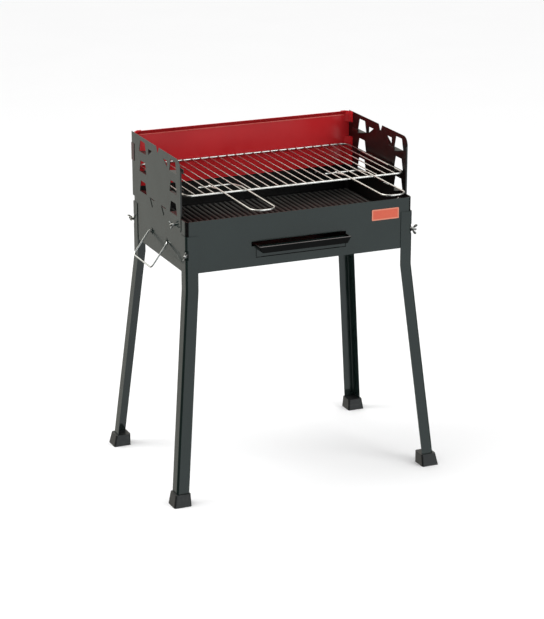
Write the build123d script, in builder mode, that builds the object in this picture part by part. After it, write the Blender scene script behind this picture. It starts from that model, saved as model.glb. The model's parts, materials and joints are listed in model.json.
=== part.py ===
from build123d import *
import os
from math import cos, radians, sin, sqrt

# A portable charcoal barbecue on four splayed legs: a sheet-steel firebox with an ember tray and an
# ash drawer, side and back wind guards, and a chromed cooking grid that rests on ledges bent in from
# the side guards. Millimetres. +X is the user's right, -Y is the front, +Z is up. The origin is on the
# floor, in the middle of the whole object's bounding box.

# ---- Driving dimensions -------------------------------------------------------------------------
body_width = 588.0
body_depth = 360.0
body_height = 126.0
body_bottom = 561.0
corner_radius = 10.0
body_sheet = 1.0
rim_hem_height = 8.0
rim_hem_sheet = 1.0

floor_lift = 2.0
floor_flange = 10.0
floor_corner_cut = 14.0

tray_lift = 62.0
tray_rib_pitch = 14.5
tray_rib_height = 5.0
tray_rib_top = 4.0
tray_rib_base = 8.0
tray_gap = 3.0
tray_edge = 8.0
ash_slot_width = 3.0
ash_slot_length = 80.0
ash_slot_web = 25.0
ash_slot_edge = 10.0
ledge_flange = 14.0
ledge_web = 16.0
ledge_end_gap = 30.0

drawer_width = 232.0
drawer_rear_gap = 30.0
drawer_height = 27.0
drawer_lift = 23.0
drawer_side_gap = 1.5
drawer_bottom_gap = 2.0
drawer_top_gap = 11.0
drawer_notch_width = 11.5
drawer_notch_height = 11.0
rail_gap = 0.5
rail_shelf = 16.0
rail_height = 34.0

pull_top_width = 238.0
pull_bottom_width = 220.0
pull_height = 15.5
pull_reach = 27.0
pull_wall = 2.0
pull_lift = 15.0
pull_back_gap = 3.0
pull_standoff = 0.4

plate_width = 72.0
plate_height = 27.0
plate_sheet = 0.8
plate_border = 2.5
plate_border_rise = 0.5
plate_inset = 72.0
plate_drop = 35.0
plate_radius = 2.0

guard_sheet = 1.2
guard_overlap = 33.0
guard_rise = 141.0
guard_front_inset = 31.0
guard_corner_radius = 22.0
guard_foot_radius = 9.0
guard_tail_step = 13.0
guard_tail_cut = 23.0
guard_flange = 3.0
guard_flange_drop = 24.0
rim_gap = 1.0
ledge_rises = (3.0, 53.0, 103.0)
window_inset = 77.0
window_bottom_width = 48.0
window_top_width = 32.0
window_height = 28.0
ledge_lip = 8.0
spit_notch_top = 20.0
spit_notch_bottom = 5.0
spit_notch_depth = 14.0
spit_hole_width = 26.0
spit_hole_height = 16.0
spit_hole_drop = 19.0
spit_hole_web = 15.0
low_hole_centers = (42.0, -35.5)
low_hole_width = 35.0
low_hole_height = 23.0
low_hole_rise = 3.0

back_sheet = 1.0
back_face_inset = 13.0
back_lip = 11.0
back_lip_flange = 11.0
back_overlap = 23.0
back_tab_rise = 75.0
back_tab_height = 38.0
back_tab_reach = 19.0
back_tab_overlap = 5.0
back_lip_radius = 3.0
fit_gap = 0.1

frame_wire = 5.0
rod_wire = 3.0
grid_side_gap = 9.0
grid_front_inset = 25.0
grid_rear_inset = 6.0
grid_rest_gap = 0.1
grid_corner_radius = 18.0
rod_pitch = 23.6

handle_wire = 4.0
handle_rod = 7
handle_width = 60.0
handle_pivot_inset = 75.0
handle_overhang = 195.0
handle_bend_inset = 17.0
handle_tip_radius = 24.0
handle_corner_radius = 8.0
handle_bend_radius = 15.0
handle_tail = 28.0
handle_eye_radius = 4.4
handle_eye_width = 4.6
handle_eye_overlap = 1.0
wire_gap = 0.3

bail_wire = 4.0
bail_width = 123.0
bail_drop = 71.0
bail_pin = 17.5
bail_radius = 10.0
bail_pin_radius = 6.0
bail_lift = 47.0
bail_rest_angle = 36.0
clip_width = 8.0
clip_center = 50.5
clip_wall = 1.0
clip_foot = 6.0
pin_clearance = 0.06

leg_sheet = 1.5
leg_flange = 31.0
leg_bend_radius = 6.0
leg_top_drop = 35.0
leg_knee_drop = 43.0
leg_splay_x = 51.0
leg_splay_y = 49.0
pad_height = 24.0
pad_lift = 46.0

foot_base = 45.0
foot_top = 39.0
foot_height = 30.0
foot_sole = 6.0
foot_radius = 5.0
foot_inset = 14.5

bolt_radius = 3.0
bolt_hole_gap = 0.3
bolt_head_radius = 5.0
bolt_head_height = 2.5
bolt_head_taper = 30.0
bolt_reach = 15.0
guard_bolt_inset = 72.0
guard_bolt_drop = 22.0
guard_bolt_reach = 11.0
guard_nut_size = 0.75
nut_hub_radius = 5.5
nut_hub_height = 9.0
nut_gap = 0.1
nut_bore_gap = 0.05
wing_sheet = 1.6
wing_fillet = 1.2
wing_outline = ((3.0, 6.0), (10.5, 9.5), (13.0, 13.0), (11.5, 16.5), (8.0, 16.5), (3.0, 11.0))

screw_radius = 2.5
screw_hole_gap = 0.25
screw_inset = 94.0
screw_drop = 12.0
screw_head_radius = 4.5
screw_head_height = 2.6
screw_reach = 9.0
screw_nut_width = 8.0
screw_nut_height = 4.0

os.makedirs("parts", exist_ok=True)

# ---- Derived sizes ------------------------------------------------------------------------------
half_width = body_width / 2
half_depth = body_depth / 2
rim = body_bottom + body_height
inner_half_width = half_width - body_sheet
inner_half_depth = half_depth - body_sheet
leg_corner_x = half_width + leg_sheet
leg_corner_y = half_depth + leg_sheet
grid_front = half_depth - grid_front_inset
grid_rear = half_depth - grid_rear_inset
handle_reach = grid_front + handle_overhang
foot_reach = leg_corner_y + leg_splay_y - foot_inset + foot_base / 2
handle_outer_reach = handle_reach + handle_wire / 2

# The grid handles stand out in front further than the rear feet stand out behind, so the firebox
# centre lies behind the origin by half the difference.
body_y = (handle_outer_reach - foot_reach) / 2

# Datum planes through the firebox centre: plan, front view and side view. In the front view the sketch
# axes are X and Z and offsets go forward; in the side view they are Y and Z and offsets go to +X.
level = Plane(origin=(0, body_y, 0))
front = Plane(origin=(0, body_y, 0), x_dir=(1, 0, 0), z_dir=(0, -1, 0))
side = Plane(origin=(0, body_y, 0), x_dir=(0, 1, 0), z_dir=(1, 0, 0))
sides = {"left": -1, "right": 1}
corners = {
    "front_left": (-1, -1),
    "front_right": (1, -1),
    "rear_left": (-1, 1),
    "rear_right": (1, 1),
}

tray_level = body_bottom + tray_lift
drawer_bottom = body_bottom + drawer_lift
slot_half_width = drawer_width / 2 + drawer_side_gap
slot_bottom = drawer_bottom - drawer_bottom_gap
drawer_top = drawer_bottom + drawer_height
slot_top = drawer_top + drawer_top_gap
floor_top = body_bottom + floor_lift + body_sheet
pad_center = body_bottom + pad_lift
leg_knee = body_bottom - leg_knee_drop
leg_top = rim - leg_top_drop
guard_bottom = rim - guard_overlap
guard_top = rim + guard_rise
guard_front = half_depth - guard_front_inset
guard_bolt_y = half_depth - guard_bolt_inset
guard_bolt_z = rim - guard_bolt_drop
screw_column = half_width - screw_inset
screw_level = rim - screw_drop
screw_places = ((-screw_column, screw_level), (screw_column, screw_level))
ledge_levels = [rim + rise for rise in ledge_rises]

grid_half_width = half_width - grid_side_gap - frame_wire / 2
rods_each_side = int((grid_half_width - frame_wire / 2) / rod_pitch)
grid_level = ledge_levels[1] + frame_wire / 2 + grid_rest_gap
rod_level = grid_level + (frame_wire - rod_wire) / 2
handle_pivot_level = rod_level - (rod_wire + handle_wire) / 2 - wire_gap
handle_level = grid_level + (frame_wire + handle_wire) / 2 + wire_gap

handle_column = handle_rod * rod_pitch
handle_pivot = grid_front - handle_pivot_inset

bail_level = body_bottom + bail_lift
bail_x = half_width + bail_wire / 2 + wire_gap
arc_x = half_width - corner_radius
arc_y = half_depth - corner_radius
guard_outer = half_width + guard_sheet


def wall_profile(points, thickness, side_of_line, radius=0.0):
    """Closed profile of a folded sheet: the open outline, its bends rounded, thickened to one side."""
    with BuildLine() as outline:
        if radius:
            FilletPolyline(*points, radius=radius)
        else:
            Polyline(*points)
        offset(amount=thickness, side=side_of_line, kind=Kind.INTERSECTION)
    make_face(outline.edges())


def polygon(*points, mode=Mode.ADD):
    """Closed straight-sided profile."""
    Polygon(*points, align=None, mode=mode)


def corner_plane(sign_x, sign_y, distance, height, roll=0.0):
    """Plane square to a corner's diagonal, this far out from the corner arc's centre line."""
    run = distance / sqrt(2)
    across = Vector(-sign_y, sign_x, 0) * (cos(radians(roll)) / sqrt(2))
    return Plane(
        origin=(sign_x * (arc_x + run), body_y + sign_y * (arc_y + run), height),
        x_dir=across + Vector(0, 0, sin(radians(roll))),
        z_dir=(sign_x, sign_y, 0),
    )


def guard_plane(sign, distance, roll=0.0):
    """Plane square to X at a side guard's bolt, this far out from the firebox centre."""
    return Plane(
        origin=(sign * distance, body_y - guard_bolt_y, guard_bolt_z),
        x_dir=(0, cos(radians(roll)), sin(radians(roll))),
        z_dir=(sign, 0, 0),
    )


# ---- Firebox shell: four walls with rounded corners, a hemmed rim and the drawer slot -------------
with BuildPart() as firebox_shell:
    with BuildSketch(level.offset(body_bottom)):
        RectangleRounded(body_width, body_depth, corner_radius)
        RectangleRounded(
            2 * inner_half_width, 2 * inner_half_depth, corner_radius - body_sheet, mode=Mode.SUBTRACT
        )
    extrude(amount=body_height)
    with BuildSketch(level.offset(rim - rim_hem_height)):
        RectangleRounded(2 * inner_half_width, 2 * inner_half_depth, corner_radius - body_sheet)
        RectangleRounded(
            2 * (inner_half_width - rim_hem_sheet),
            2 * (inner_half_depth - rim_hem_sheet),
            corner_radius - body_sheet - rim_hem_sheet,
            mode=Mode.SUBTRACT,
        )
    extrude(amount=rim_hem_height)
    # The drawer slot, with a notch at its upper left corner.
    with BuildSketch(front.offset(half_depth)):
        with Locations((0, (slot_bottom + slot_top) / 2)):
            Rectangle(2 * slot_half_width, slot_top - slot_bottom)
        with Locations((-slot_half_width, slot_top)):
            Rectangle(drawer_notch_width, drawer_notch_height, align=(Align.MAX, Align.MAX))
    extrude(amount=-body_sheet, mode=Mode.SUBTRACT)
    for sign_x, sign_y in corners.values():
        with BuildSketch(corner_plane(sign_x, sign_y, 0, pad_center)):
            Circle(bolt_radius + bolt_hole_gap)
        extrude(amount=corner_radius + body_sheet, mode=Mode.SUBTRACT)
    for sign in sides.values():
        with BuildSketch(guard_plane(sign, inner_half_width)):
            Circle(bolt_radius + bolt_hole_gap)
        extrude(amount=body_sheet, mode=Mode.SUBTRACT)
    with BuildSketch(front.offset(-half_depth)):
        with Locations(*screw_places):
            Circle(screw_radius + screw_hole_gap)
    extrude(amount=body_sheet, mode=Mode.SUBTRACT)
firebox_shell.part.label = "firebox_shell"
export_step(firebox_shell.part, "parts/firebox_shell.step")

# ---- Firebox floor: a pan with cut corners, welded inside the walls -------------------------------
with BuildPart() as firebox_floor:
    with BuildSketch(level.offset(body_bottom + floor_lift)):
        Rectangle(2 * inner_half_width, 2 * inner_half_depth)
        chamfer(vertices(), floor_corner_cut)
    extrude(amount=body_sheet)
    flange_x = inner_half_width - body_sheet / 2
    flange_y = inner_half_depth - body_sheet / 2
    with BuildSketch(level.offset(floor_top)):
        with Locations((0, -flange_y), (0, flange_y)):
            Rectangle(2 * (inner_half_width - floor_corner_cut), body_sheet)
        with Locations((-flange_x, 0), (flange_x, 0)):
            Rectangle(body_sheet, 2 * (inner_half_depth - floor_corner_cut))
    extrude(amount=floor_flange)
firebox_floor.part.label = "firebox_floor"
export_step(firebox_floor.part, "parts/firebox_floor.step")

# ---- Tray ledges: an angle welded to each side wall -----------------------------------------------
ledge_half_length = half_depth - ledge_end_gap
for name, sign in sides.items():
    with BuildPart() as tray_ledge:
        with BuildSketch(front.offset(-ledge_half_length)):
            wall_profile(
                [
                    (sign * inner_half_width, tray_level - ledge_web),
                    (sign * inner_half_width, tray_level),
                    (sign * (inner_half_width - ledge_flange), tray_level),
                ],
                body_sheet,
                Side.LEFT if sign > 0 else Side.RIGHT,
            )
        extrude(amount=2 * ledge_half_length)
    tray_ledge.part.label = f"tray_ledge_{name}"
    export_step(tray_ledge.part, f"parts/tray_ledge_{name}.step")

# ---- Ember tray: a ribbed sheet with rows of ash slots between the ribs ---------------------------
tray_half_width = inner_half_width - tray_gap
tray_half_depth = inner_half_depth - tray_gap
tray_rib_count = int((2 * (tray_half_width - tray_edge) - tray_rib_base) / tray_rib_pitch) + 1
ash_slot_spacing = ash_slot_length + ash_slot_web
ash_slot_rows = int((2 * (tray_half_depth - ash_slot_edge) - ash_slot_length) / ash_slot_spacing) + 1
tray_outline = [(-tray_half_width, tray_level)]
for rib in range(tray_rib_count):
    rib_x = (rib - (tray_rib_count - 1) / 2) * tray_rib_pitch
    tray_outline += [
        (rib_x - tray_rib_base / 2, tray_level),
        (rib_x - tray_rib_top / 2, tray_level + tray_rib_height),
        (rib_x + tray_rib_top / 2, tray_level + tray_rib_height),
        (rib_x + tray_rib_base / 2, tray_level),
    ]
tray_outline.append((tray_half_width, tray_level))
tray_underside = list(reversed(tray_outline))
with BuildPart() as ember_tray:
    with BuildSketch(front.offset(-tray_half_depth)):
        polygon(*[(x, z + body_sheet) for x, z in tray_outline], *tray_underside)
    extrude(amount=2 * tray_half_depth)
    with BuildSketch(level.offset(tray_level)):
        with GridLocations(tray_rib_pitch, ash_slot_spacing, tray_rib_count - 1, ash_slot_rows):
            SlotOverall(ash_slot_length, ash_slot_width, rotation=90)
    extrude(amount=body_sheet, mode=Mode.SUBTRACT)
ember_tray.part.label = "ember_tray"
export_step(ember_tray.part, "parts/ember_tray.step")

# ---- Drawer rails: an upright on the floor with a shelf under the drawer's edge -------------------
rail_web_x = slot_half_width + body_sheet / 2
rail_shelf_level = drawer_bottom - rail_gap - body_sheet / 2
for name, sign in sides.items():
    with BuildPart() as drawer_rail:
        with BuildSketch(front.offset(-inner_half_depth + body_sheet)):
            with Locations((sign * rail_web_x, floor_top)):
                Rectangle(body_sheet, rail_height, align=(Align.CENTER, Align.MIN))
            with Locations((sign * (rail_web_x - rail_shelf / 2), rail_shelf_level)):
                Rectangle(rail_shelf, body_sheet)
        extrude(amount=2 * (inner_half_depth - body_sheet))
    drawer_rail.part.label = f"drawer_rail_{name}"
    export_step(drawer_rail.part, f"parts/drawer_rail_{name}.step")

# ---- Ash drawer: an open pan whose front wall lies flush in the slot ------------------------------
with BuildPart() as ash_drawer:
    with BuildSketch(level.offset(drawer_bottom)):
        with Locations((0, -half_depth)):
            Rectangle(drawer_width, body_depth - drawer_rear_gap, align=(Align.CENTER, Align.MIN))
    extrude(amount=drawer_height)
    offset(amount=-body_sheet, openings=ash_drawer.faces().sort_by(Axis.Z)[-1])
ash_drawer.part.label = "ash_drawer"
export_step(ash_drawer.part, "parts/ash_drawer.step")

# ---- Drawer pull: an open-topped trough with slanted ends -----------------------------------------
pull_bottom = drawer_bottom + pull_lift
pull_top = pull_bottom + pull_height
pull_slant = (pull_top_width - pull_bottom_width) / 2 / pull_height


def pull_outline(inset):
    """Front outline of the pull, taken in from the ends and the bottom by a wall's thickness."""
    low = pull_bottom + inset
    high = pull_top
    low_half = pull_bottom_width / 2 - inset + pull_slant * inset
    high_half = pull_top_width / 2 - inset
    polygon((-low_half, low), (low_half, low), (high_half, high), (-high_half, high))


with BuildPart() as drawer_pull:
    with BuildSketch(front.offset(half_depth + pull_standoff)):
        pull_outline(0)
    extrude(amount=pull_reach - pull_standoff)
    with BuildSketch(front.offset(half_depth + pull_standoff)):
        pull_outline(pull_wall)
    extrude(amount=pull_reach - pull_standoff - pull_wall, mode=Mode.SUBTRACT)
    fillet(drawer_pull.faces().sort_by(Axis.Y)[0].edges(), pull_wall / 3)
    with BuildSketch(front.offset(half_depth)):
        with Locations((0, pull_bottom)):
            Rectangle(
                pull_bottom_width - 2 * pull_wall,
                drawer_top - pull_back_gap - pull_bottom,
                align=(Align.CENTER, Align.MIN),
            )
    extrude(amount=pull_wall)
drawer_pull.part.label = "drawer_pull"
export_step(drawer_pull.part, "parts/drawer_pull.step")

# ---- Name plate: a blank plate with a raised border -----------------------------------------------
plate_plane = front.offset(half_depth)
plate_center = (half_width - plate_inset, rim - plate_drop)
with BuildPart() as name_plate:
    with BuildSketch(plate_plane):
        with Locations(plate_center):
            RectangleRounded(plate_width, plate_height, plate_radius)
    extrude(amount=plate_sheet)
    with BuildSketch(plate_plane.offset(plate_sheet)):
        with Locations(plate_center):
            RectangleRounded(plate_width, plate_height, plate_radius)
            Rectangle(
                plate_width - 2 * plate_border, plate_height - 2 * plate_border, mode=Mode.SUBTRACT
            )
    extrude(amount=plate_border_rise)
name_plate.part.label = "name_plate"
export_step(name_plate.part, "parts/name_plate.step")

# ---- Side guards: a plate with windows, each window's metal bent inwards as a ledge ----------------
window_column = half_depth - window_inset
windows = [(column, bottom) for column in (-window_column, window_column) for bottom in ledge_levels]
notch_edge = spit_notch_top / 2
window_edge = window_column - window_bottom_width / 2
ledge_tip = half_width - window_height + ledge_lip
spit_hole_outer = window_edge - spit_hole_web
spit_hole_inner = spit_hole_outer - spit_hole_width
spit_hole_top = guard_top - spit_hole_drop
low_hole_top = rim + low_hole_rise
guard_flange_top = guard_top - guard_flange_drop
guard_points = [
    (-guard_front, guard_bottom),
    (half_depth - guard_tail_cut, guard_bottom),
    (half_depth - guard_tail_cut, guard_bottom + guard_tail_step),
    (half_depth, guard_bottom + guard_tail_step),
    (half_depth, guard_top),
    (-guard_front, guard_top),
]
for name, sign in sides.items():
    with BuildPart() as side_guard:
        with BuildSketch(side.offset(sign * half_width)) as guard_sketch:
            polygon(*guard_points)
            for end, radius in ((0, guard_foot_radius), (-1, guard_corner_radius)):
                front_corners = guard_sketch.vertices().group_by(Axis.X)[0].sort_by(Axis.Y)
                fillet(front_corners[end], radius)
            for column, bottom in windows:
                polygon(
                    (column - window_bottom_width / 2, bottom),
                    (column + window_bottom_width / 2, bottom),
                    (column + window_top_width / 2, bottom + window_height),
                    (column - window_top_width / 2, bottom + window_height),
                    mode=Mode.SUBTRACT,
                )
            # Spit rest: a V notch in the top edge, with a triangular hole on each side of it.
            polygon(
                (-spit_notch_bottom / 2, guard_top - spit_notch_depth),
                (spit_notch_bottom / 2, guard_top - spit_notch_depth),
                (notch_edge, guard_top),
                (-notch_edge, guard_top),
                mode=Mode.SUBTRACT,
            )
            for hand in (-1, 1):
                polygon(
                    (hand * spit_hole_inner, spit_hole_top),
                    (hand * spit_hole_outer, spit_hole_top),
                    (hand * spit_hole_outer, spit_hole_top - spit_hole_height),
                    mode=Mode.SUBTRACT,
                )
            for center in low_hole_centers:
                polygon(
                    (center - low_hole_width / 2, low_hole_top),
                    (center + low_hole_width / 2, low_hole_top),
                    (center, low_hole_top - low_hole_height),
                    mode=Mode.SUBTRACT,
                )
            with Locations((-guard_bolt_y, guard_bolt_z)):
                Circle(bolt_radius + bolt_hole_gap, mode=Mode.SUBTRACT)
        extrude(amount=sign * guard_sheet)
        for column, bottom in windows:
            with BuildSketch(level.offset(bottom - guard_sheet)):
                polygon(
                    (sign * half_width, column - window_bottom_width / 2),
                    (sign * half_width, column + window_bottom_width / 2),
                    (sign * ledge_tip, column + window_top_width / 2),
                    (sign * ledge_tip, column - window_top_width / 2),
                )
            extrude(amount=guard_sheet)
            # The ledge's end turned up, which keeps the grid from sliding sideways.
            with BuildSketch(level.offset(bottom)):
                with Locations((sign * (ledge_tip + guard_sheet / 2), column)):
                    Rectangle(guard_sheet, window_top_width)
            extrude(amount=ledge_lip)
        # Front edge folded inwards, above the firebox rim.
        with BuildSketch(front.offset(guard_front - guard_sheet)):
            polygon(
                (sign * half_width, rim + rim_gap),
                (sign * half_width, guard_flange_top),
                (sign * (half_width - guard_flange), guard_flange_top - guard_flange),
                (sign * (half_width - guard_flange), rim + rim_gap),
            )
        extrude(amount=guard_sheet)
    side_guard.part.label = f"side_guard_{name}"
    export_step(side_guard.part, f"parts/side_guard_{name}.step")

# ---- Back guard: a panel with a leaning top lip and end lips that grip the side guards ------------
lip_x = half_width - back_face_inset
back_bottom = rim - back_overlap
back_tab_bottom = rim + back_tab_rise
lip_turn_x = half_width - fit_gap
lip_turn_y = half_depth + back_sheet - (lip_turn_x - lip_x)
back_inner = [
    (lip_x - back_lip, half_depth + back_sheet),
    (lip_x, half_depth + back_sheet),
    (lip_turn_x, lip_turn_y),
    (lip_turn_x, lip_turn_y - back_lip_flange),
]
tab_x = guard_outer + fit_gap + back_sheet
back_outer = [
    (lip_x - back_lip, half_depth + back_sheet),
    (tab_x, half_depth + back_sheet),
    (tab_x, half_depth + back_sheet - back_tab_reach),
]
back_face_bottom = rim + rim_gap
back_lip_level = guard_top - back_lip + back_sheet
back_tab_top = back_tab_bottom + back_tab_height
with BuildPart() as back_guard:
    with BuildSketch(level.offset(back_bottom)):
        with Locations((0, half_depth)):
            Rectangle(2 * lip_x, back_sheet, align=(Align.CENTER, Align.MIN))
    extrude(amount=back_lip_level - back_bottom)
    for low, high in ((back_face_bottom, back_tab_bottom), (back_tab_top, guard_top)):
        with BuildSketch(level.offset(low)):
            wall_profile(back_inner, back_sheet, Side.RIGHT)
            mirror(about=Plane.YZ)
        extrude(amount=high - low)
    with BuildSketch(level.offset(back_tab_bottom - back_tab_overlap)):
        wall_profile(back_outer, back_sheet, Side.RIGHT)
        mirror(about=Plane.YZ)
    extrude(amount=back_tab_height + back_tab_overlap)
    with BuildSketch(side.offset(-lip_x)):
        wall_profile(
            [
                (half_depth + back_sheet, back_lip_level - back_lip),
                (half_depth + back_sheet, back_lip_level),
                (half_depth + back_sheet - back_lip, back_lip_level + back_lip),
            ],
            back_sheet,
            Side.LEFT,
            back_lip_radius,
        )
    extrude(amount=2 * lip_x)
    with BuildSketch(front.offset(-half_depth)):
        with Locations(*screw_places):
            Circle(screw_radius + screw_hole_gap)
    extrude(amount=-back_sheet, mode=Mode.SUBTRACT)
back_guard.part.label = "back_guard"
export_step(back_guard.part, "parts/back_guard.step")

# ---- Back guard screws and nuts --------------------------------------------------------------------
with BuildPart() as back_screws:
    with BuildSketch(front.offset(-half_depth - back_sheet)):
        with Locations(*screw_places):
            Circle(screw_head_radius)
    extrude(amount=-screw_head_height)
    fillet(back_screws.faces().sort_by(Axis.Y)[-2:].edges(), screw_head_height / 2)
    with BuildSketch(front.offset(-half_depth - back_sheet)):
        with Locations(*screw_places):
            Circle(screw_radius)
    extrude(amount=screw_reach)
back_screws.part.label = "back_guard_screws"
export_step(back_screws.part, "parts/back_guard_screws.step")

with BuildPart() as back_nuts:
    with BuildSketch(front.offset(-inner_half_depth)):
        with Locations(*screw_places):
            RegularPolygon(screw_nut_width / 2, 6, major_radius=False)
            Circle(screw_radius, mode=Mode.SUBTRACT)
    extrude(amount=screw_nut_height)
back_nuts.part.label = "back_guard_nuts"
export_step(back_nuts.part, "parts/back_guard_nuts.step")

# ---- Cooking grid: a wire frame with rods welded between its front and rear wires -----------------
with BuildSketch(level.offset(grid_level)) as grid_outline:
    with Locations((0, (grid_rear - grid_front) / 2)):
        RectangleRounded(2 * grid_half_width, grid_front + grid_rear, grid_corner_radius)
frame_path = grid_outline.sketch.faces()[0].outer_wire()
with BuildPart() as grid_frame:
    with BuildSketch(Plane(origin=frame_path @ 0, z_dir=frame_path % 0)):
        Circle(frame_wire / 2)
    sweep(path=frame_path)
grid_frame.part.label = "grid_frame"
export_step(grid_frame.part, "parts/grid_frame.step")

with BuildPart() as grid_rods:
    with BuildSketch(front.offset(grid_front)):
        with Locations((0, rod_level)):
            with GridLocations(rod_pitch, 1, 2 * rods_each_side + 1, 1):
                Circle(rod_wire / 2)
    extrude(amount=-(grid_front + grid_rear))
    add(grid_frame.part, mode=Mode.SUBTRACT)
grid_rods.part.label = "grid_rods"
export_step(grid_rods.part, "parts/grid_rods.step")

# ---- Grid handles: a wire loop hooked under the rods and lying over the front frame wire ----------
handle_bend_start = grid_front - handle_bend_inset
for name, sign in sides.items():
    handle_x = sign * handle_column
    left_x = handle_x - handle_width / 2
    right_x = handle_x + handle_width / 2
    with BuildPart() as grid_handle:
        with BuildLine(level) as loop_path:
            FilletPolyline(
                (handle_x, -handle_pivot, handle_pivot_level),
                (right_x, -handle_pivot, handle_pivot_level),
                (right_x, -handle_bend_start, handle_level),
                (right_x, -handle_reach, handle_level),
                (left_x, -handle_reach, handle_level),
                (left_x, -handle_bend_start, handle_level),
                (left_x, -handle_pivot - handle_eye_overlap, handle_pivot_level),
                radius=[
                    handle_corner_radius,
                    handle_bend_radius,
                    handle_tip_radius,
                    handle_tip_radius,
                    handle_bend_radius,
                ],
            )
        with BuildSketch(side.offset(handle_x)):
            with Locations((-handle_pivot, handle_pivot_level)):
                Circle(handle_wire / 2)
        sweep(path=loop_path.wire())
        # The cross wire's tail, and the eye that the left arm's end is curled into around it.
        with BuildSketch(side.offset(left_x - handle_tail)):
            with Locations((-handle_pivot, handle_pivot_level)):
                Circle(handle_wire / 2)
        extrude(amount=handle_tail + handle_width / 2)
        with BuildSketch(side.offset(left_x)):
            with Locations((-handle_pivot, handle_pivot_level)):
                Circle(handle_eye_radius)
        extrude(amount=handle_eye_width / 2, both=True)
    grid_handle.part.label = f"grid_handle_{name}"
    export_step(grid_handle.part, f"parts/grid_handle_{name}.step")

# ---- Carrying bails and their clips on the side walls ----------------------------------------------
bail_half = bail_width / 2
for name, sign in sides.items():
    bail_angle = radians(bail_rest_angle)
    bail_plane = Plane(
        origin=(sign * bail_x, body_y, bail_level),
        x_dir=(0, 1, 0),
        z_dir=(sign * cos(bail_angle), 0, sin(bail_angle)),
    )
    # The sketch's second axis points out and up or in and down, so the drop takes its sign.
    drop = bail_drop if bail_plane.y_dir.Z < 0 else -bail_drop
    with BuildPart() as bail_handle:
        with BuildLine(bail_plane) as bail_path:
            FilletPolyline(
                (bail_pin - bail_half, 0),
                (-bail_half, 0),
                (-bail_half, drop),
                (bail_half, drop),
                (bail_half, 0),
                (bail_half - bail_pin, 0),
                radius=[bail_pin_radius, bail_radius, bail_radius, bail_pin_radius],
            )
        with BuildSketch(Plane(bail_plane.origin + Vector(0, bail_pin - bail_half, 0), z_dir=(0, -1, 0))):
            Circle(bail_wire / 2)
        sweep(path=bail_path.wire())
    bail_handle.part.label = f"bail_handle_{name}"
    export_step(bail_handle.part, f"parts/bail_handle_{name}.step")

    clip_bore = bail_wire / 2 + pin_clearance
    with BuildPart() as bail_clips:
        for hand in (-1, 1):
            with BuildSketch(front.offset(hand * clip_center - clip_width / 2)):
                with Locations((sign * half_width, bail_level)):
                    Rectangle(
                        clip_wall,
                        2 * (clip_bore + clip_foot),
                        align=(Align.MIN if sign > 0 else Align.MAX, Align.CENTER),
                    )
                    Rectangle(
                        abs(bail_x) - half_width,
                        2 * (clip_bore + clip_wall),
                        align=(Align.MIN if sign > 0 else Align.MAX, Align.CENTER),
                    )
                with Locations((sign * bail_x, bail_level)):
                    Circle(clip_bore + clip_wall)
                    Circle(clip_bore, mode=Mode.SUBTRACT)
            extrude(amount=clip_width)
        split(bisect_by=side.offset(sign * half_width), keep=Keep.TOP if sign > 0 else Keep.BOTTOM)
    bail_clips.part.label = f"bail_clips_{name}"
    export_step(bail_clips.part, f"parts/bail_clips_{name}.step")


# ---- Legs, feet, corner bolts and wing nuts ---------------------------------------------------------
def leg_section(sign_x, sign_y, splay):
    """Angle section around a firebox corner, its bend rounded, moved out by this share of the splay."""
    x = leg_corner_x + splay * leg_splay_x
    y = leg_corner_y + splay * leg_splay_y
    outline = [
        (x, y),
        (x - leg_flange, y),
        (x - leg_flange, y - leg_sheet),
        (x - leg_sheet, y - leg_sheet),
        (x - leg_sheet, y - leg_flange),
        (x, y - leg_flange),
    ]
    polygon(*[(sign_x * u, sign_y * v) for u, v in outline])
    for inset, radius in ((leg_sheet, leg_bend_radius - leg_sheet), (0, leg_bend_radius)):
        corner = (sign_x * (x - inset), sign_y * (y - inset), 0)
        fillet(vertices().sort_by_distance(corner)[0], radius)


def foot_section(sign_x, sign_y, height, width):
    """Square boot section centred under the leg at this height."""
    splay = 1 - height / leg_knee
    x = leg_corner_x + splay * leg_splay_x - foot_inset
    y = leg_corner_y + splay * leg_splay_y - foot_inset
    with Locations((sign_x * x, sign_y * y)):
        RectangleRounded(width, width, foot_radius)


def wing_nut(plane, size=1.0):
    """Wing nut seated on this plane, its wings along the plane's X axis, its outside scaled by size."""
    wing_plane = Plane(origin=plane.origin, x_dir=plane.x_dir, z_dir=plane.x_dir.cross(plane.z_dir))
    rise = 1 if wing_plane.y_dir.dot(plane.z_dir) > 0 else -1
    with BuildPart() as nut:
        with BuildSketch(plane.offset(nut_gap)):
            Circle(size * nut_hub_radius)
        extrude(amount=size * nut_hub_height)
        with BuildSketch(wing_plane) as wings:
            for hand in (-1, 1):
                polygon(*[(hand * size * u, rise * size * v) for u, v in wing_outline])
            fillet(wings.vertices(), size * wing_fillet)
        extrude(amount=wing_sheet / 2, both=True)
        with BuildSketch(plane):
            Circle(bolt_radius + nut_bore_gap)
        extrude(amount=nut_hub_height + 2 * nut_hub_radius, mode=Mode.SUBTRACT)
    return nut


def bolt(head_plane, length):
    """Round-headed bolt: the head lies behind the plane and the shank runs out in front of it."""
    with BuildPart() as shank_and_head:
        with BuildSketch(head_plane):
            Circle(bolt_head_radius)
        extrude(amount=-bolt_head_height, taper=bolt_head_taper)
        with BuildSketch(head_plane):
            Circle(bolt_radius)
        extrude(amount=length)
    return shank_and_head


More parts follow.
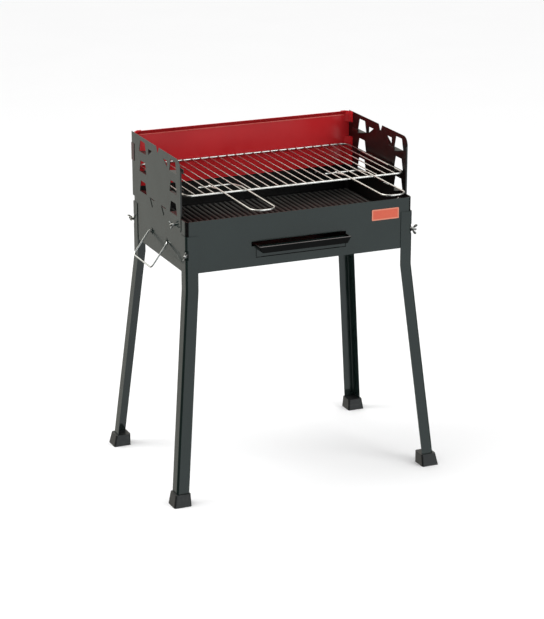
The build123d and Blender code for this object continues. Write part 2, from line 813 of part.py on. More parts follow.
pad_inner = corner_radius
pad_outer = corner_radius + leg_sheet
pad_bottom = pad_center - pad_height / 2
inner_line = arc_x + arc_y + pad_inner * sqrt(2)
outer_line = arc_x + arc_y + pad_outer * sqrt(2)
pad_outline = [
    (leg_corner_x, outer_line - leg_corner_x),
    (outer_line - leg_corner_y, leg_corner_y),
    (inner_line - half_depth, half_depth),
    (half_width, inner_line - half_width),
]
pad_cut = [
    (leg_corner_x, outer_line - leg_corner_x),
    (leg_corner_x, leg_corner_y),
    (outer_line - leg_corner_y, leg_corner_y),
]
head_seat = sqrt((corner_radius - body_sheet) ** 2 - bolt_head_radius**2)
nut_rolls = {"front_left": 70.0, "front_right": 65.0, "rear_left": 50.0, "rear_right": 110.0}
for name, (sign_x, sign_y) in corners.items():
    with BuildPart() as leg:
        with BuildSketch(level.offset(leg_knee)):
            leg_section(sign_x, sign_y, 0)
        with BuildSketch(level.offset(foot_sole)):
            leg_section(sign_x, sign_y, 1 - foot_sole / leg_knee)
        loft(ruled=True)
        with BuildSketch(level.offset(leg_knee)):
            leg_section(sign_x, sign_y, 0)
        extrude(amount=leg_top - leg_knee)
        # The corner is pressed flat where the bolt passes.
        with BuildSketch(level.offset(pad_bottom)):
            polygon(*[(sign_x * u, sign_y * v) for u, v in pad_cut])
        extrude(amount=pad_height, mode=Mode.SUBTRACT)
        with BuildSketch(level.offset(pad_bottom)):
            polygon(*[(sign_x * u, sign_y * v) for u, v in pad_outline])
        extrude(amount=pad_height)
        with BuildSketch(corner_plane(sign_x, sign_y, 0, pad_center)):
            Circle(bolt_radius + bolt_hole_gap)
        extrude(amount=pad_outer + leg_sheet, mode=Mode.SUBTRACT)
    leg.part.label = f"leg_{name}"
    export_step(leg.part, f"parts/leg_{name}.step")

    with BuildPart() as foot:
        with BuildSketch(level):
            foot_section(sign_x, sign_y, 0, foot_base)
        with BuildSketch(level.offset(foot_height)):
            foot_section(sign_x, sign_y, foot_height, foot_top)
        loft(ruled=True)
        add(leg.part, mode=Mode.SUBTRACT)
    foot.part.label = f"foot_{name}"
    export_step(foot.part, f"parts/foot_{name}.step")

    leg_bolt = bolt(
        corner_plane(sign_x, sign_y, head_seat - fit_gap, pad_center),
        pad_outer - head_seat + fit_gap + bolt_reach,
    )
    leg_bolt.part.label = f"leg_bolt_{name}"
    export_step(leg_bolt.part, f"parts/leg_bolt_{name}.step")

    leg_nut = wing_nut(corner_plane(sign_x, sign_y, pad_outer, pad_center, nut_rolls[name]))
    leg_nut.part.label = f"wing_nut_{name}"
    export_step(leg_nut.part, f"parts/wing_nut_{name}.step")

# ---- Side guard bolts and wing nuts ------------------------------------------------------------------
guard_nut_rolls = {"left": 60.0, "right": 70.0}
for name, sign in sides.items():
    guard_bolt = bolt(
        guard_plane(sign, inner_half_width), body_sheet + guard_sheet + guard_bolt_reach
    )
    guard_bolt.part.label = f"guard_bolt_{name}"
    export_step(guard_bolt.part, f"parts/guard_bolt_{name}.step")

    guard_nut = wing_nut(guard_plane(sign, guard_outer, guard_nut_rolls[name]), guard_nut_size)
    guard_nut.part.label = f"wing_nut_guard_{name}"
    export_step(guard_nut.part, f"parts/wing_nut_guard_{name}.step")
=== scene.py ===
import json
import math

import bpy
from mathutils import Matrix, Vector


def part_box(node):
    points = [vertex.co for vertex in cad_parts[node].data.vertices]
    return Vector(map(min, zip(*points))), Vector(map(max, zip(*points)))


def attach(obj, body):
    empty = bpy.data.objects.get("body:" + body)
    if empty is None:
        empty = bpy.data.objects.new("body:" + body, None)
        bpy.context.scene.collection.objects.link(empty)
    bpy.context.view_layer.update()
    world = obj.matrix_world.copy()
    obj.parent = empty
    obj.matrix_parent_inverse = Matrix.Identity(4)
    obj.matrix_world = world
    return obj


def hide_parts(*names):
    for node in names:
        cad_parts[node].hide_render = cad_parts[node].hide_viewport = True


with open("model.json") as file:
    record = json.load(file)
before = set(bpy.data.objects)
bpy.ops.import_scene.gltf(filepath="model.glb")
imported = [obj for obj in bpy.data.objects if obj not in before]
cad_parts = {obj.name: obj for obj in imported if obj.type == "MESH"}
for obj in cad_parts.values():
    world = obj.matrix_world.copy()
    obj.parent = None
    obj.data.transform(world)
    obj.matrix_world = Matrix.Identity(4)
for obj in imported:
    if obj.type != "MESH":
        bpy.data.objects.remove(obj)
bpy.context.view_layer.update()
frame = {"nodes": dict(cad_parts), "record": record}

MM = 0.001
CORNERS = {"front_left": (-1, -1), "front_right": (1, -1), "rear_left": (-1, 1), "rear_right": (1, 1)}
SIDES = {"left": -1, "right": 1}
shell_low, shell_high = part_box("firebox_shell")
body_y = (shell_low.y + shell_high.y) / 2
half_depth = shell_high.y - body_y


# ---- Node helpers -------------------------------------------------------------------------------
# The owner of a node is a material or the world.
def new_material(name):
    """An empty node material with its Principled shader wired to the output."""
    material = bpy.data.materials.new(name)
    material.use_nodes = True
    nodes = material.node_tree.nodes
    nodes.clear()
    output = nodes.new("ShaderNodeOutputMaterial")
    shader = nodes.new("ShaderNodeBsdfPrincipled")
    link(material, shader.outputs["BSDF"], output.inputs["Surface"])
    return material, shader


def link(owner, source, target):
    """Joins one socket to another."""
    owner.node_tree.links.new(source, target)


def object_point(material):
    """The surface point in the frame's own metres."""
    return material.node_tree.nodes.new("ShaderNodeTexCoord").outputs["Object"]


def separated(owner, vector):
    """The outputs X, Y and Z of a vector."""
    node = owner.node_tree.nodes.new("ShaderNodeSeparateXYZ")
    link(owner, vector, node.inputs["Vector"])
    return node.outputs


def noise(material, point, size, detail=3.0):
    """Noise between 0 and 1 whose features are about this many metres across."""
    node = material.node_tree.nodes.new("ShaderNodeTexNoise")
    node.inputs["Scale"].default_value = 1.0 / size
    node.inputs["Detail"].default_value = detail
    link(material, point, node.inputs["Vector"])
    return node.outputs["Fac"]


def mapped(owner, value, low, high, to_low, to_high):
    """A value moved from one range to another and held inside it."""
    node = owner.node_tree.nodes.new("ShaderNodeMapRange")
    node.interpolation_type = "SMOOTHSTEP"
    for socket, number in zip(("From Min", "From Max", "To Min", "To Max"), (low, high, to_low, to_high)):
        node.inputs[socket].default_value = number
    link(owner, value, node.inputs["Value"])
    return node.outputs["Result"]


def math_node(owner, operation, *values):
    """One arithmetic step on sockets or plain numbers."""
    node = owner.node_tree.nodes.new("ShaderNodeMath")
    node.operation = operation
    for socket, value in zip(node.inputs, values):
        if isinstance(value, (int, float)):
            socket.default_value = value
        else:
            link(owner, value, socket)
    return node.outputs["Value"]


def vector_node(owner, operation, vector, by=None):
    """The outputs of one step of vector arithmetic."""
    node = owner.node_tree.nodes.new("ShaderNodeVectorMath")
    node.operation = operation
    link(owner, vector, node.inputs[0])
    if by:
        node.inputs[1].default_value = by
    return node.outputs


def mixed(owner, share, first, second):
    """A colour between two colours, each a socket or an RGB triple."""
    node = owner.node_tree.nodes.new("ShaderNodeMix")
    node.data_type = "RGBA"
    link(owner, share, node.inputs["Factor"])
    for socket, value in ((node.inputs[6], first), (node.inputs[7], second)):
        if isinstance(value, tuple):
            socket.default_value = (*value, 1.0)
        else:
            link(owner, value, socket)
    return node.outputs[2]


def bump(material, shader, height, depth):
    """Surface relief of this depth in metres, added to what the shader has already."""
    node = material.node_tree.nodes.new("ShaderNodeBump")
    node.inputs["Distance"].default_value = depth
    link(material, height, node.inputs["Height"])
    for earlier in list(shader.inputs["Normal"].links):
        link(material, earlier.from_socket, node.inputs["Normal"])
    link(material, node.outputs["Normal"], shader.inputs["Normal"])


# ---- Materials ----------------------------------------------------------------------------------
GREEN = (0.006, 0.0115, 0.0102)
GREEN_SHADE = (0.008, 0.0145, 0.013)
GREEN_GLOSS = 0.14
RED = (0.47, 0.014, 0.018)
RED_SHADE = (0.52, 0.018, 0.022)
RED_GLOSS = 0.22
RED_SPECULAR = 0.32
# A darker red for the back guard's tabs outside the side walls.
OUTER_TAB_RED = (0.035, 0.008, 0.009)
BLACK = (0.0015, 0.0015, 0.0015)
BLACK_SHADE = (0.003, 0.003, 0.003)
SOOT = (0.0012, 0.0012, 0.0011)
SOOT_SHADE = (0.0035, 0.003, 0.0026)
# A paler coat for the tray's rib crests, a painted highlight; the second tone is for random drift.
PAINTED_CREST_HIGHLIGHT = (0.03, 0.031, 0.028)
PAINTED_CREST_HIGHLIGHT_DRIFT = (0.065, 0.066, 0.06)


def inner_side(material, point, reach_x, reach_y):
    """1 nearer the firebox centre than these reaches along X and Y, and 0 outside them."""
    parts = separated(material, point)
    away_x = math_node(material, "ABSOLUTE", parts["X"])
    away_y = math_node(material, "ABSOLUTE", math_node(material, "SUBTRACT", parts["Y"], body_y))
    near_x = math_node(material, "LESS_THAN", away_x, reach_x)
    near_y = math_node(material, "LESS_THAN", away_y, reach_y)
    return math_node(material, "MULTIPLY", near_x, near_y)


def enamel(name, colour, shade, gloss, specular=0.5, sooty=None, smoked=None, crest=None):
    """Stoved enamel on sheet steel: slow colour drift, fine orange peel and specks of dust.

    sooty is how far soot reaches along X and Y from the firebox centre, smoked is where along X
    the coat turns darker outside it, and crest is the pair of heights between which it turns paler, a
    painted highlight.
    """
    peel_depth, wave_depth = 0.04 * MM, 0.4 * MM
    soot_dullness = 0.18
    every_y = 1.0
    material, shader = new_material(name)
    shader.inputs["Specular IOR Level"].default_value = specular
    point = object_point(material)
    drift = mapped(material, noise(material, point, 0.12), 0.3, 0.7, 0.0, 1.0)
    base = mixed(material, drift, colour, shade)
    specks = mapped(material, noise(material, point, 0.0016, 2.0), 0.68, 0.78, 0.0, 0.35)
    dust = tuple(min(1.0, c * 1.6 + 0.012) for c in colour)
    top_coat = mixed(material, specks, base, dust)
    if sooty:
        soot = mixed(material, drift, SOOT, SOOT_SHADE)
        top_coat = mixed(material, inner_side(material, point, *sooty), top_coat, soot)
    # Outside this reach along X, on the back guard's tabs beyond the side walls, the coat turns a darker
    # red.
    if smoked:
        within = inner_side(material, point, smoked, every_y)
        top_coat = mixed(material, within, OUTER_TAB_RED, top_coat)
    # Between the crest heights the coat turns paler: a painted highlight on the tops of the tray's ribs.
    if crest:
        crest_highlight = mixed(material, drift, PAINTED_CREST_HIGHLIGHT, PAINTED_CREST_HIGHLIGHT_DRIFT)
        height = separated(material, point)["Z"]
        top_coat = mixed(material, mapped(material, height, *crest, 0.0, 1.0), top_coat, crest_highlight)
    link(material, top_coat, shader.inputs["Base Color"])
    haze = mapped(material, noise(material, point, 0.035, 4.0), 0.3, 0.7, gloss - 0.03, gloss + 0.05)
    if sooty:
        dull = math_node(material, "MULTIPLY", inner_side(material, point, *sooty), soot_dullness)
        haze = math_node(material, "ADD", haze, dull)
    link(material, haze, shader.inputs["Roughness"])
    bump(material, shader, noise(material, point, 0.0022, 2.0), peel_depth)
    bump(material, shader, noise(material, point, 0.05, 2.0), wave_depth)
    return material


def wire_metal(name, colour, dull, gloss):
    """Plated wire: small cloudy patches and a fine grain."""
    grain_depth = 0.03 * MM
    material, shader = new_material(name)
    shader.inputs["Metallic"].default_value = 1.0
    point = object_point(material)
    cloud = mapped(material, noise(material, point, 0.012, 4.0), 0.35, 0.7, 0.0, 1.0)
    link(material, mixed(material, cloud, colour, dull), shader.inputs["Base Color"])
    grain = noise(material, point, 0.0012)
    link(material, mapped(material, grain, 0.3, 0.7, gloss - 0.05, gloss + 0.08), shader.inputs["Roughness"])
    bump(material, shader, grain, grain_depth)
    return material


def moulded_plastic(name):
    """Black moulded plastic with a fine leather grain."""
    plastic, scuffed = (0.008, 0.009, 0.009), (0.02, 0.021, 0.02)
    cells_per_metre = 900.0
    cell_depth = 0.08 * MM
    material, shader = new_material(name)
    point = object_point(material)
    scuff = mapped(material, noise(material, point, 0.009, 4.0), 0.5, 0.75, 0.0, 1.0)
    link(material, mixed(material, scuff, plastic, scuffed), shader.inputs["Base Color"])
    shader.inputs["Roughness"].default_value = 0.42
    cells = material.node_tree.nodes.new("ShaderNodeTexVoronoi")
    cells.inputs["Scale"].default_value = cells_per_metre
    link(material, point, cells.inputs["Vector"])
    bump(material, shader, cells.outputs["Distance"], cell_depth)
    return material


def plate_enamel(name):
    """The name plate: a coloured field inside a paler raised border."""
    border, edge_blur = 3.0 * MM, 0.3 * MM
    border_colour = (0.62, 0.21, 0.135)
    field_colour, field_shade = (0.5, 0.07, 0.032), (0.57, 0.1, 0.05)
    grain_depth = 0.04 * MM
    material, shader = new_material(name)
    low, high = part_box("name_plate")
    centre = (low + high) / 2
    half = (high - low) / 2
    point = object_point(material)
    parts = separated(material, point)
    inside = []
    for axis, middle, reach in (("X", centre.x, half.x - border), ("Z", centre.z, half.z - border)):
        offset = math_node(material, "SUBTRACT", parts[axis], middle)
        away = math_node(material, "ABSOLUTE", offset)
        inside.append(mapped(material, away, reach - edge_blur, reach + edge_blur, 1.0, 0.0))
    blotch = noise(material, point, 0.006, 4.0)
    field = mixed(material, blotch, field_colour, field_shade)
    on_field = math_node(material, "MULTIPLY", *inside)
    link(material, mixed(material, on_field, border_colour, field), shader.inputs["Base Color"])
    shader.inputs["Roughness"].default_value = 0.35
    bump(material, shader, noise(material, point, 0.0009), grain_depth)
    return material


materials = {
    "green_enamel": enamel("green_enamel", GREEN, GREEN_SHADE, GREEN_GLOSS),
    "black_enamel": enamel("black_enamel", BLACK, BLACK_SHADE, 0.3, specular=0.07),
    "red_enamel": enamel("red_enamel", RED, RED_SHADE, RED_GLOSS, specular=RED_SPECULAR),
    "plate_red": plate_enamel("plate_red"),
    "chrome_wire": wire_metal("chrome_wire", (0.66, 0.645, 0.615), (0.5, 0.485, 0.46), 0.34),
    "zinc_wire": wire_metal("zinc_wire", (0.72, 0.74, 0.73), (0.56, 0.58, 0.57), 0.24),
    "zinc": wire_metal("zinc", (0.44, 0.44, 0.42), (0.3, 0.3, 0.29), 0.3),
    "black_plastic": moulded_plastic("black_plastic"),
}
for row in frame["record"]["subparts"]:
    node = frame["nodes"][row["node"]]
    node.data.materials.clear()
    node.data.materials.append(materials[row["material_slot"]])

# Smoke has blackened the inner faces of the walls, the pan and the guards. Each reach ends within the
# thickness of the sheet, so that the outer faces stay clean.
wall_skin = 0.4 * MM
pan_skin = 0.6 * MM
guard_skin = 0.6 * MM
shell_coat = enamel(
    "green_enamel_shell", GREEN, GREEN_SHADE, GREEN_GLOSS,
    sooty=(shell_high.x - wall_skin, half_depth - wall_skin),
)
guard_coat = enamel(
    "green_enamel_guard", GREEN, GREEN_SHADE, GREEN_GLOSS,
    sooty=(shell_high.x + guard_skin, half_depth),
)
pan_coat = enamel(
    "green_enamel_pan", GREEN, GREEN_SHADE, GREEN_GLOSS,
    sooty=(shell_high.x, half_depth - pan_skin),
)
# The back guard's tabs outside the side walls get a darker red.
back_coat = enamel(
    "red_enamel_back", RED, RED_SHADE, RED_GLOSS, specular=RED_SPECULAR, smoked=shell_high.x
)
tray_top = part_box("ember_tray")[1].z
# The tray's rib crests are painted paler near their tops: a painted highlight.
tray_coat = enamel(
    "black_enamel_tray", BLACK, BLACK_SHADE, 0.32, specular=0.3,
    crest=(tray_top - 3.2 * MM, tray_top - 0.6 * MM),
)
# A paler black for the pull's rolled top edge: a painted highlight.
pull_bead_highlight_coat = enamel("black_enamel_worn", (0.1, 0.092, 0.088), (0.17, 0.155, 0.15), 0.3)
# A lighter red for the bend under the back guard's top lip: a painted highlight.
bend_highlight_coat = enamel("red_enamel_bend", (0.6, 0.075, 0.06), (0.68, 0.11, 0.09), 0.25)
for names, coat in (
    (("back_guard",), back_coat),
    (("firebox_shell",), shell_coat),
    (("side_guard_left", "side_guard_right"), guard_coat),
    (("firebox_floor", "drawer_rail_left", "drawer_rail_right", "ash_drawer"), pan_coat),
):
    for name in names:
        frame["nodes"][name].data.materials[0] = coat


# ---- Mesh helpers ---------------------------------------------------------------------------------
# Sizes inside the functions below are in millimetres, unless they are multiplied by MM there.
def add_piece(name, points, faces, slot, body, replaced=None, coat=None):
    """A smooth-shaded mesh piece that rides on a body and may stand for a CAD node.

    It has its slot's material, or a coat of its own.
    """
    mesh = bpy.data.meshes.new(name)
    mesh.from_pydata(points, [], faces)
    mesh.materials.append(coat or materials[slot])
    mesh.shade_smooth()
    piece = bpy.data.objects.new(name, mesh)
    bpy.context.scene.collection.objects.link(piece)
    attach(piece, body)
    if replaced:
        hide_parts(replaced)
    return piece


def smooth_step(value):
    """0 below 0, 1 above 1, with a soft start and end."""
    held = min(1.0, max(0.0, value))
    return held * held * (3 - 2 * held)


def ring_faces(rings, around, start=0, closed=False, flipped=False):
    """The faces that join rings of points, counted from start.

    A closed shape's last ring meets its first. Any other shape gets a face at each end. Flipped turns
    every face over, for rings that run the other way.
    """
    faces = []
    for ring in range(rings if closed else rings - 1):
        lower = start + ring * around
        upper = start + (ring + 1) % rings * around
        for index in range(around):
            after = (index + 1) % around
            faces.append((lower + index, lower + after, upper + after, upper + index))
    if not closed:
        last = start + (rings - 1) * around
        faces.append(tuple(reversed(range(start, start + around))))
        faces.append(tuple(range(last, last + around)))
    if flipped:
        faces = [(face[0], *reversed(face[1:])) for face in faces]
    return faces


def axes_at(axis, across):
    """Unit vectors of a part's own frame: across, the third, and along the axis."""
    along = Vector(axis).normalized()
    first = Vector(across).normalized()
    return first, along.cross(first), along


def turned(rings, origin, axes, closed=False):
    """Points and faces of a turned shape; each ring gives radius and height at each angle."""
    first, second, along = axes
    around = len(rings[0])
    points = []
    for ring in rings:
        for index, (radius, height) in enumerate(ring):
            angle = 2 * math.pi * index / around
            outwards = first * (radius * math.cos(angle)) + second * (radius * math.sin(angle))
            points.append(origin + (outwards + along * height) * MM)
    return points, ring_faces(len(rings), around, closed=closed)


def rounded(outline, passes):
    """The outline with its corners cut this many times, by a fifth of each side."""
    cut = 0.2
    keep = 1.0 - cut
    for _ in range(passes):
        trimmed = []
        for (u0, v0), (u1, v1) in zip(outline, outline[1:] + outline[:1]):
            trimmed.append((keep * u0 + cut * u1, keep * v0 + cut * v1))
            trimmed.append((cut * u0 + keep * u1, cut * v0 + keep * v1))
        outline = trimmed
    return outline


def bead_points(path, z, half_width, half_height, around):
    """Rings of points of an oval bead along a level path in metres, one for each of its points."""
    points = []
    for index, (x, y) in enumerate(path):
        before = Vector(path[max(0, index - 1)])
        after = Vector(path[min(len(path) - 1, index + 1)])
        way = (after - before).normalized()
        for turn in range(around):
            angle = 2 * math.pi * turn / around
            sideways = half_width * math.cos(angle)
            points.append((x - way.y * sideways, y + way.x * sideways, z + half_height * math.sin(angle)))
    return points


# ---- Detailed pieces ------------------------------------------------------------------------------
def make_ember_tray():
    """The ember tray: rounded ribs that end short of the edges, and rows of slots for the ashes between
    them.
    """
    sheet = 1.0
    rib_pitch, rib_half, rib_height = 14.5, 4.6, 5.0
    side_margin, end_margin, end_slope = 12.0, 9.0, 7.0
    flank_foot = 1.25                   # in half ribs from the rib's middle
    slot_half_width, slot_length, slot_spacing = 1.5, 80.0, 105.0
    rows_each_way = 1                   # rows of slots in front of the middle one, and behind it
    columns_per_rib, row_step = 10, 4.0
    low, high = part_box("ember_tray")
    half_x, half_y = (high.x - low.x) / 2 / MM, (high.y - low.y) / 2 / MM
    base = low.z / MM + sheet
    ribs = int((2 * half_x - 2 * side_margin) / rib_pitch) + 1
    outer_rib = (ribs - 1) / 2
    shift = 0.0 if ribs % 2 else rib_pitch / 2
    columns = int(half_x / rib_pitch * columns_per_rib)
    rows = int(half_y / row_step)
    column_xs = [column * rib_pitch / columns_per_rib for column in range(-columns, columns + 1)]
    xs = [-half_x] + column_xs + [half_x]
    ys = [-half_y] + [row * row_step for row in range(-rows + 1, rows)] + [half_y]

    def rise(x, y):
        """How far the sheet is pressed up at this place."""
        rib = round((x - shift) / rib_pitch)
        if abs(rib) > outer_rib:
            return 0.0
        across = smooth_step(flank_foot - abs(x - shift - rib * rib_pitch) / rib_half)
        return rib_height * across * smooth_step((half_y - end_margin - abs(y)) / end_slope)

    def in_slot(x, y):
        """Whether this place is in a slot between two ribs."""
        between = (x - shift) / rib_pitch - 0.5
        if abs(between - round(between)) * rib_pitch > slot_half_width or abs(x) > outer_rib * rib_pitch:
            return False
        row = max(-rows_each_way, min(rows_each_way, round(y / slot_spacing)))
        return abs(y - row * slot_spacing) < slot_length / 2

    points = [(x * MM, y * MM + body_y, (base + rise(x, y)) * MM) for y in ys for x in xs]
    faces = []
    width = len(xs)
    for j in range(len(ys) - 1):
        for i in range(width - 1):
            if not in_slot((xs[i] + xs[i + 1]) / 2, (ys[j] + ys[j + 1]) / 2):
                corner = j * width + i
                faces.append((corner, corner + 1, corner + 1 + width, corner + width))
    tray = add_piece(
        "ember_tray_ribbed", points, faces, "black_enamel", "ember_tray", "ember_tray", tray_coat
    )
    thickness = tray.modifiers.new("sheet", "SOLIDIFY")
    thickness.thickness = sheet * MM
    thickness.offset = -1.0


def make_pull_bead():
    """The rolled bead along the pull's top edge, from wall to wall round its front corners, in a paler coat
    that is a painted highlight.
    """
    radius = 0.8 * MM
    corner_radius, corner_steps = 2.5 * MM, 6
    rise, side_gap, wall_gap = 0.1 * MM, 0.2 * MM, 2.0 * MM
    around = 12
    low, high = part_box("drawer_pull")
    front = low.y + radius
    back = shell_low.y - wall_gap
    left, right = low.x + radius + side_gap, high.x - radius - side_gap
    path = [(left, back)]
    for centre_x, first, last in ((left + corner_radius, 180, 270), (right - corner_radius, 270, 360)):
        for step in range(corner_steps + 1):
            angle = math.radians(first + (last - first) * step / corner_steps)
            x = centre_x + corner_radius * math.cos(angle)
            path.append((x, front + corner_radius + corner_radius * math.sin(angle)))
    path.append((right, back))
    points = bead_points(path, high.z + rise, radius, radius, around)
    # Flipped, these faces look inwards.
    faces = ring_faces(len(path), around, flipped=True)
    add_piece("pull_edge_bead", points, faces, "black_enamel", "ash_drawer", coat=pull_bead_highlight_coat)


def make_bend_bead():
    """A rounded bead at the bend between the back guard's panel and its leaning top lip, in a lighter red
    that is a painted highlight.
    """
    half_height, half_width = 1.2 * MM, 0.96 * MM
    end_gap, drop, setback = 14.0 * MM, 12.4 * MM, 0.2 * MM
    around, lengths = 16, 60
    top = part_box("back_guard")[1].z
    reach = shell_high.x - end_gap
    y = shell_high.y - setback
    path = [(-reach + 2 * reach * step / lengths, y) for step in range(lengths + 1)]
    points = bead_points(path, top - drop, half_width, half_height, around)
    faces = ring_faces(len(path), around)
    add_piece("back_bend_bead", points, faces, "red_enamel", "stand", coat=bend_highlight_coat)


def bolt_rings(head, length, radius, pitch, cross=False):
    """Rings of a dome head behind its seat and a rolled thread in front of it."""
    around = 32
    quarter = around // 4
    arm_steps, arm_reach, recess = 3, 2.8, 1.0
    thread_depth, thread_start = 0.42, 1.5
    chamfer_depth, chamfer_length = 0.7, 1.2
    steps_per_turn = 6
    rings = []
    for height, ring_radius in head:
        ring = []
        for index in range(around):
            on_arm = abs(index % quarter - quarter // 2) >= arm_steps
            sunk = recess if cross and on_arm and ring_radius < arm_reach else 0.0
            ring.append((ring_radius, height + sunk))
        rings.append(ring)
    steps = int(length / (pitch / steps_per_turn))
    for step in range(steps + 1):
        height = length * step / steps
        ring = []
        for index in range(around):
            phase = (height / pitch - index / around) % 1.0
            groove = thread_depth * (1.0 - abs(2.0 * phase - 1.0))
            groove *= smooth_step((height - thread_start) / thread_start)
            chamfer = chamfer_depth * smooth_step((height - length + chamfer_length) / chamfer_length)
            ring.append((radius - max(groove, chamfer), height))
        rings.append(ring)
    return rings


def wing_nut_mesh(origin, axes, size):
    """A cast wing nut: a tapered hub with a bore, and two wings with rounded rims."""
    bore, hub_wall, wing_clearance = 3.05, 0.05, 0.3
    around = 32
    hub = ((5.1, 0.1), (5.45, 0.5), (5.4, 2.2), (4.9, 5.0), (4.5, 8.4), (4.2, 9.0))
    wing = (
        (3.5, 4.5), (6.5, 6.6), (10.5, 9.3), (13.0, 13.0),
        (11.5, 16.5), (8.0, 16.5), (5.2, 12.6), (3.5, 9.0),
    )
    # A wing's share of its outline, and where that stands across its thickness.
    wing_layers = ((0.86, -0.85), (0.96, -0.7), (1.0, -0.3), (1.0, 0.3), (0.96, 0.7), (0.86, 0.85))
    profile = [(bore, size * hub[0][1])]
    profile += [(max(bore + hub_wall, size * radius), size * height) for radius, height in hub]
    profile += [(bore, size * hub[-1][1])]
    points, faces = turned([[row] * around for row in profile], origin, axes, closed=True)
    first, second, along = axes
    outline = rounded([(max(bore + wing_clearance, size * u), size * v) for u, v in wing], 3)
    middle_u = sum(u for u, _ in outline) / len(outline)
    middle_v = sum(v for _, v in outline) / len(outline)
    for hand in (-1, 1):
        faces += ring_faces(len(wing_layers), len(outline), start=len(points), flipped=hand > 0)
        for share, across in wing_layers:
            for u, v in outline:
                wide = middle_u + (u - middle_u) * share
                tall = middle_v + (v - middle_v) * share
                points.append(origin + (first * (hand * wide) + second * across + along * tall) * MM)
    return points, faces


def make_fasteners():
    """Threaded bolts and cast wing nuts at the leg corners and the side guards."""
    dome = ((-2.5, 1.2), (-2.45, 2.4), (-2.2, 3.2), (-1.5, 4.0), (-0.7, 4.55), (-0.15, 4.85), (0.0, 4.7))
    thread_radius, thread_pitch = 2.98, 1.0
    leg_grip, leg_reach, leg_nut_size = 4.117, 15.0, 1.0
    guard_grip, guard_reach, guard_nut_size = 2.2, 11.0, 0.75
    rolls = {
        "front_left": 70.0, "front_right": 65.0, "rear_left": 50.0, "rear_right": 110.0,
        "guard_left": 60.0, "guard_right": 70.0,
    }
    seats = {}
    for name, (hand_x, hand_y) in CORNERS.items():
        level_way = Vector((-hand_y, hand_x, 0)).normalized()
        seats[name] = (level_way, f"leg_bolt_{name}", leg_grip, leg_reach, leg_nut_size)
    for name in SIDES:
        level_way = Vector((0, 1, 0))
        seats[f"guard_{name}"] = (level_way, f"guard_bolt_{name}", guard_grip, guard_reach, guard_nut_size)
    for joint in frame["record"]["behaviour"]["joints"]:
        name = joint["name"].replace("wing_nut_", "").replace("_turn", "")
        if name not in seats:
            continue
        level_way, bolt_node, grip, reach, nut_size = seats[name]
        roll = math.radians(rolls[name])
        axes = axes_at(joint["axis"], level_way * math.cos(roll) + Vector((0, 0, math.sin(roll))))
        seat = Vector(joint["pos_m"])
        points, faces = wing_nut_mesh(seat, axes, nut_size)
        add_piece(f"cast_wing_nut_{name}", points, faces, "zinc", f"wing_nut_{name}", f"wing_nut_{name}")
        rings = bolt_rings(dome, grip + reach, thread_radius, thread_pitch)
        points, faces = turned(rings, seat - axes[2] * (grip * MM), axes)
        add_piece(f"threaded_{bolt_node}", points, faces, "zinc", "stand", bolt_node)


def make_back_screws():
    """The two cross-headed screws that hold the back guard, their heads on its rear face."""
    pan = ((-2.6, 1.0), (-2.6, 1.8), (-2.55, 2.6), (-2.3, 3.2), (-1.7, 3.9), (-0.8, 4.4), (0.0, 4.5))
    head_radius, head_height = 4.5 * MM, 2.6 * MM
    length, thread_radius, thread_pitch = 9.0, 2.48, 0.8
    low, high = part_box("back_guard_screws")
    middle_z = (low.z + high.z) / 2
    points, faces = [], []
    for x in (low.x + head_radius, high.x - head_radius):
        rings = bolt_rings(pan, length, thread_radius, thread_pitch, cross=True)
        seat = Vector((x, high.y - head_height, middle_z))
        screw_points, screw_faces = turned(rings, seat, axes_at((0, -1, 0), (1, 0, 0)))
        faces += [tuple(len(points) + index for index in face) for face in screw_faces]
        points += screw_points
    add_piece("threaded_back_guard_screws", points, faces, "zinc", "stand", "back_guard_screws")


def make_weld_beads():
    """Flattened beads of weld where the rods meet the grid's front and rear wires."""
    rods, rod_radius = 23, 1.5 * MM
    bead_x, bead_y, bead_z = 2.3 * MM, 2.2 * MM, 1.6 * MM
    frame_inset, sink = 4.6 * MM, 0.2 * MM
    unevenness = 0.12
    around, stacks = 10, 6
    low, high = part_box("grid_frame")
    rods_low, rods_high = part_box("grid_rods")
    rod_pitch = (rods_high.x - rods_low.x - 2 * rod_radius) / (rods - 1)
    level = rods_high.z - rod_radius - sink
    points, faces = [], []
    for rod in range(rods):
        x = (rod - (rods - 1) / 2) * rod_pitch
        for y in (low.y + frame_inset, high.y - frame_inset):
            faces += ring_faces(stacks - 1, around, start=len(points), flipped=True)
            width = bead_x * (1.0 + unevenness * math.sin(7.3 * rod + 900.0 * y))
            for stack in range(1, stacks):
                polar = math.pi * stack / stacks
                for index in range(around):
                    angle = 2 * math.pi * index / around
                    points.append((
                        x + width * math.sin(polar) * math.cos(angle),
                        y + bead_y * math.sin(polar) * math.sin(angle),
                        level + bead_z * math.cos(polar),
                    ))
    add_piece("rod_weld_beads", points, faces, "chrome_wire", "cooking_grid")


make_ember_tray()
make_pull_bead()
make_bend_bead()
make_fasteners()
make_back_screws()
make_weld_beads()


# ---- Floor, world and lights ----------------------------------------------------------------------
def make_floor():
    """A wide pale floor that stays out of the reflections, which the world gives."""
    half = 40.0
    paper, paper_shade = (0.93, 0.93, 0.93), (0.95, 0.95, 0.95)
    corners = [(-half, -half, 0), (half, -half, 0), (half, half, 0), (-half, half, 0)]
    mesh = bpy.data.meshes.new("floor")
    mesh.from_pydata(corners, [], [(0, 1, 2, 3)])
    floor = bpy.data.objects.new("floor", mesh)
    bpy.context.scene.collection.objects.link(floor)
    material, shader = new_material("floor_paper")
    fibre = noise(material, object_point(material), 0.4)
    link(material, mixed(material, fibre, paper, paper_shade), shader.inputs["Base Color"])
    shader.inputs["Roughness"].default_value = 1.0
    shader.inputs["Specular IOR Level"].default_value = 0.0
    mesh.materials.append(material)
    floor.visible_glossy = False


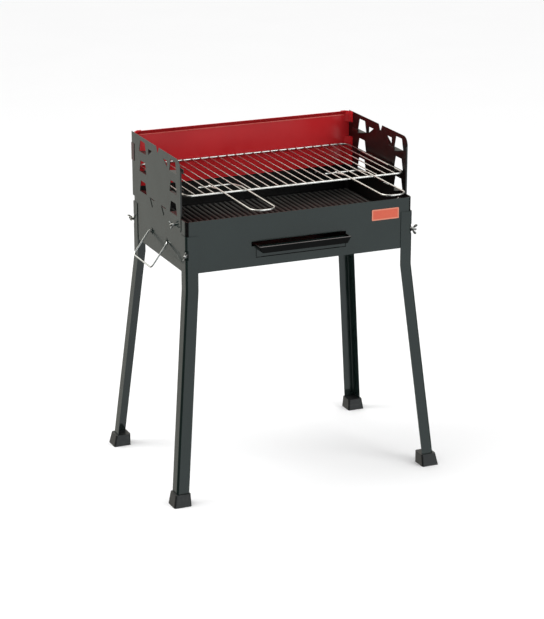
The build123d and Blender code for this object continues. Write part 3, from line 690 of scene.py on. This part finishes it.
def make_world():
    """White all round for the floor and soft light; in reflections, soft panels with dark between."""
    world = bpy.data.worlds.new("studio")
    bpy.context.scene.world = world
    world.use_nodes = True
    nodes = world.node_tree.nodes
    nodes.clear()
    output = nodes.new("ShaderNodeOutputWorld")
    plain = nodes.new("ShaderNodeBackground")
    plain.inputs["Color"].default_value = (1.0, 1.0, 1.0, 1.0)
    plain.inputs["Strength"].default_value = 1.0
    studio = nodes.new("ShaderNodeBackground")
    choose = nodes.new("ShaderNodeMixShader")
    link(world, nodes.new("ShaderNodeLightPath").outputs["Is Glossy Ray"], choose.inputs["Fac"])
    link(world, plain.outputs["Background"], choose.inputs[1])
    link(world, studio.outputs["Background"], choose.inputs[2])
    link(world, choose.outputs["Shader"], output.inputs["Surface"])

    # Along is the share of a level direction that points to the left and rear: the side walls mirror
    # about +1 of it from the camera's side, and the front walls about -1.
    left_rear = (-0.397, 0.918, 0.0)
    cool, warm = (0.92, 0.98, 1.0), (1.0, 0.98, 0.9)
    direction = nodes.new("ShaderNodeTexCoord").outputs["Generated"]
    height = separated(world, direction)["Z"]
    flat = vector_node(world, "MULTIPLY", direction, (1.0, 1.0, 0.0))["Vector"]
    unit = vector_node(world, "NORMALIZE", flat)["Vector"]
    along = vector_node(world, "DOT_PRODUCT", unit, left_rear)["Value"]
    rear = mapped(world, along, 0.7, 0.94, 0.01, 0.62)
    front = mapped(world, along, -0.95, -0.75, 1.05, 0.0)
    overhead = mapped(world, height, 0.4, 0.85, 0.0, 0.7)
    raised = mapped(world, height, 0.06, 0.25, 0.0, 1.0)
    beyond = mapped(world, along, 0.2, 0.6, 0.0, 0.75)
    upper = math_node(world, "MULTIPLY_ADD", raised, beyond, overhead)
    level = math_node(world, "ADD", rear, front)
    link(world, math_node(world, "ADD", level, upper), studio.inputs["Strength"])
    tint = mixed(world, mapped(world, along, -0.3, 0.3, 0.0, 1.0), cool, warm)
    link(world, tint, studio.inputs["Color"])


def make_area_light(name, place, target, size, power):
    """A soft square lamp at a place, aimed at a target."""
    data = bpy.data.lights.new(name, "AREA")
    data.shape = "SQUARE"
    data.size = size
    data.energy = power
    lamp = bpy.data.objects.new(name, data)
    lamp.location = place
    lamp.rotation_euler = (Vector(target) - Vector(place)).to_track_quat("-Z", "Y").to_euler()
    bpy.context.scene.collection.objects.link(lamp)


def make_camera():
    """The camera: a long lens, a little above the object and to its left."""
    looks_down, turned_right = 18.093, 23.376
    data = bpy.data.cameras.new("camera")
    data.sensor_width = 36.0
    data.lens = 122.73
    data.clip_end = 200.0
    camera = bpy.data.objects.new("camera", data)
    camera.location = (-1.9811, -4.5304, 2.0164)
    camera.rotation_euler = (math.radians(90 - looks_down), 0.0, math.radians(-turned_right))
    bpy.context.scene.collection.objects.link(camera)
    bpy.context.scene.camera = camera


make_floor()
make_world()
lit_point = (0, 0, 0.6)
make_area_light("key", (-1.6, 0.6, 2.8), lit_point, 1.2, 32.0)
make_area_light("fill", (1.8, -2.4, 2.4), lit_point, 1.6, 30.0)
make_camera()
bpy.context.scene.view_settings.view_transform = "Standard"
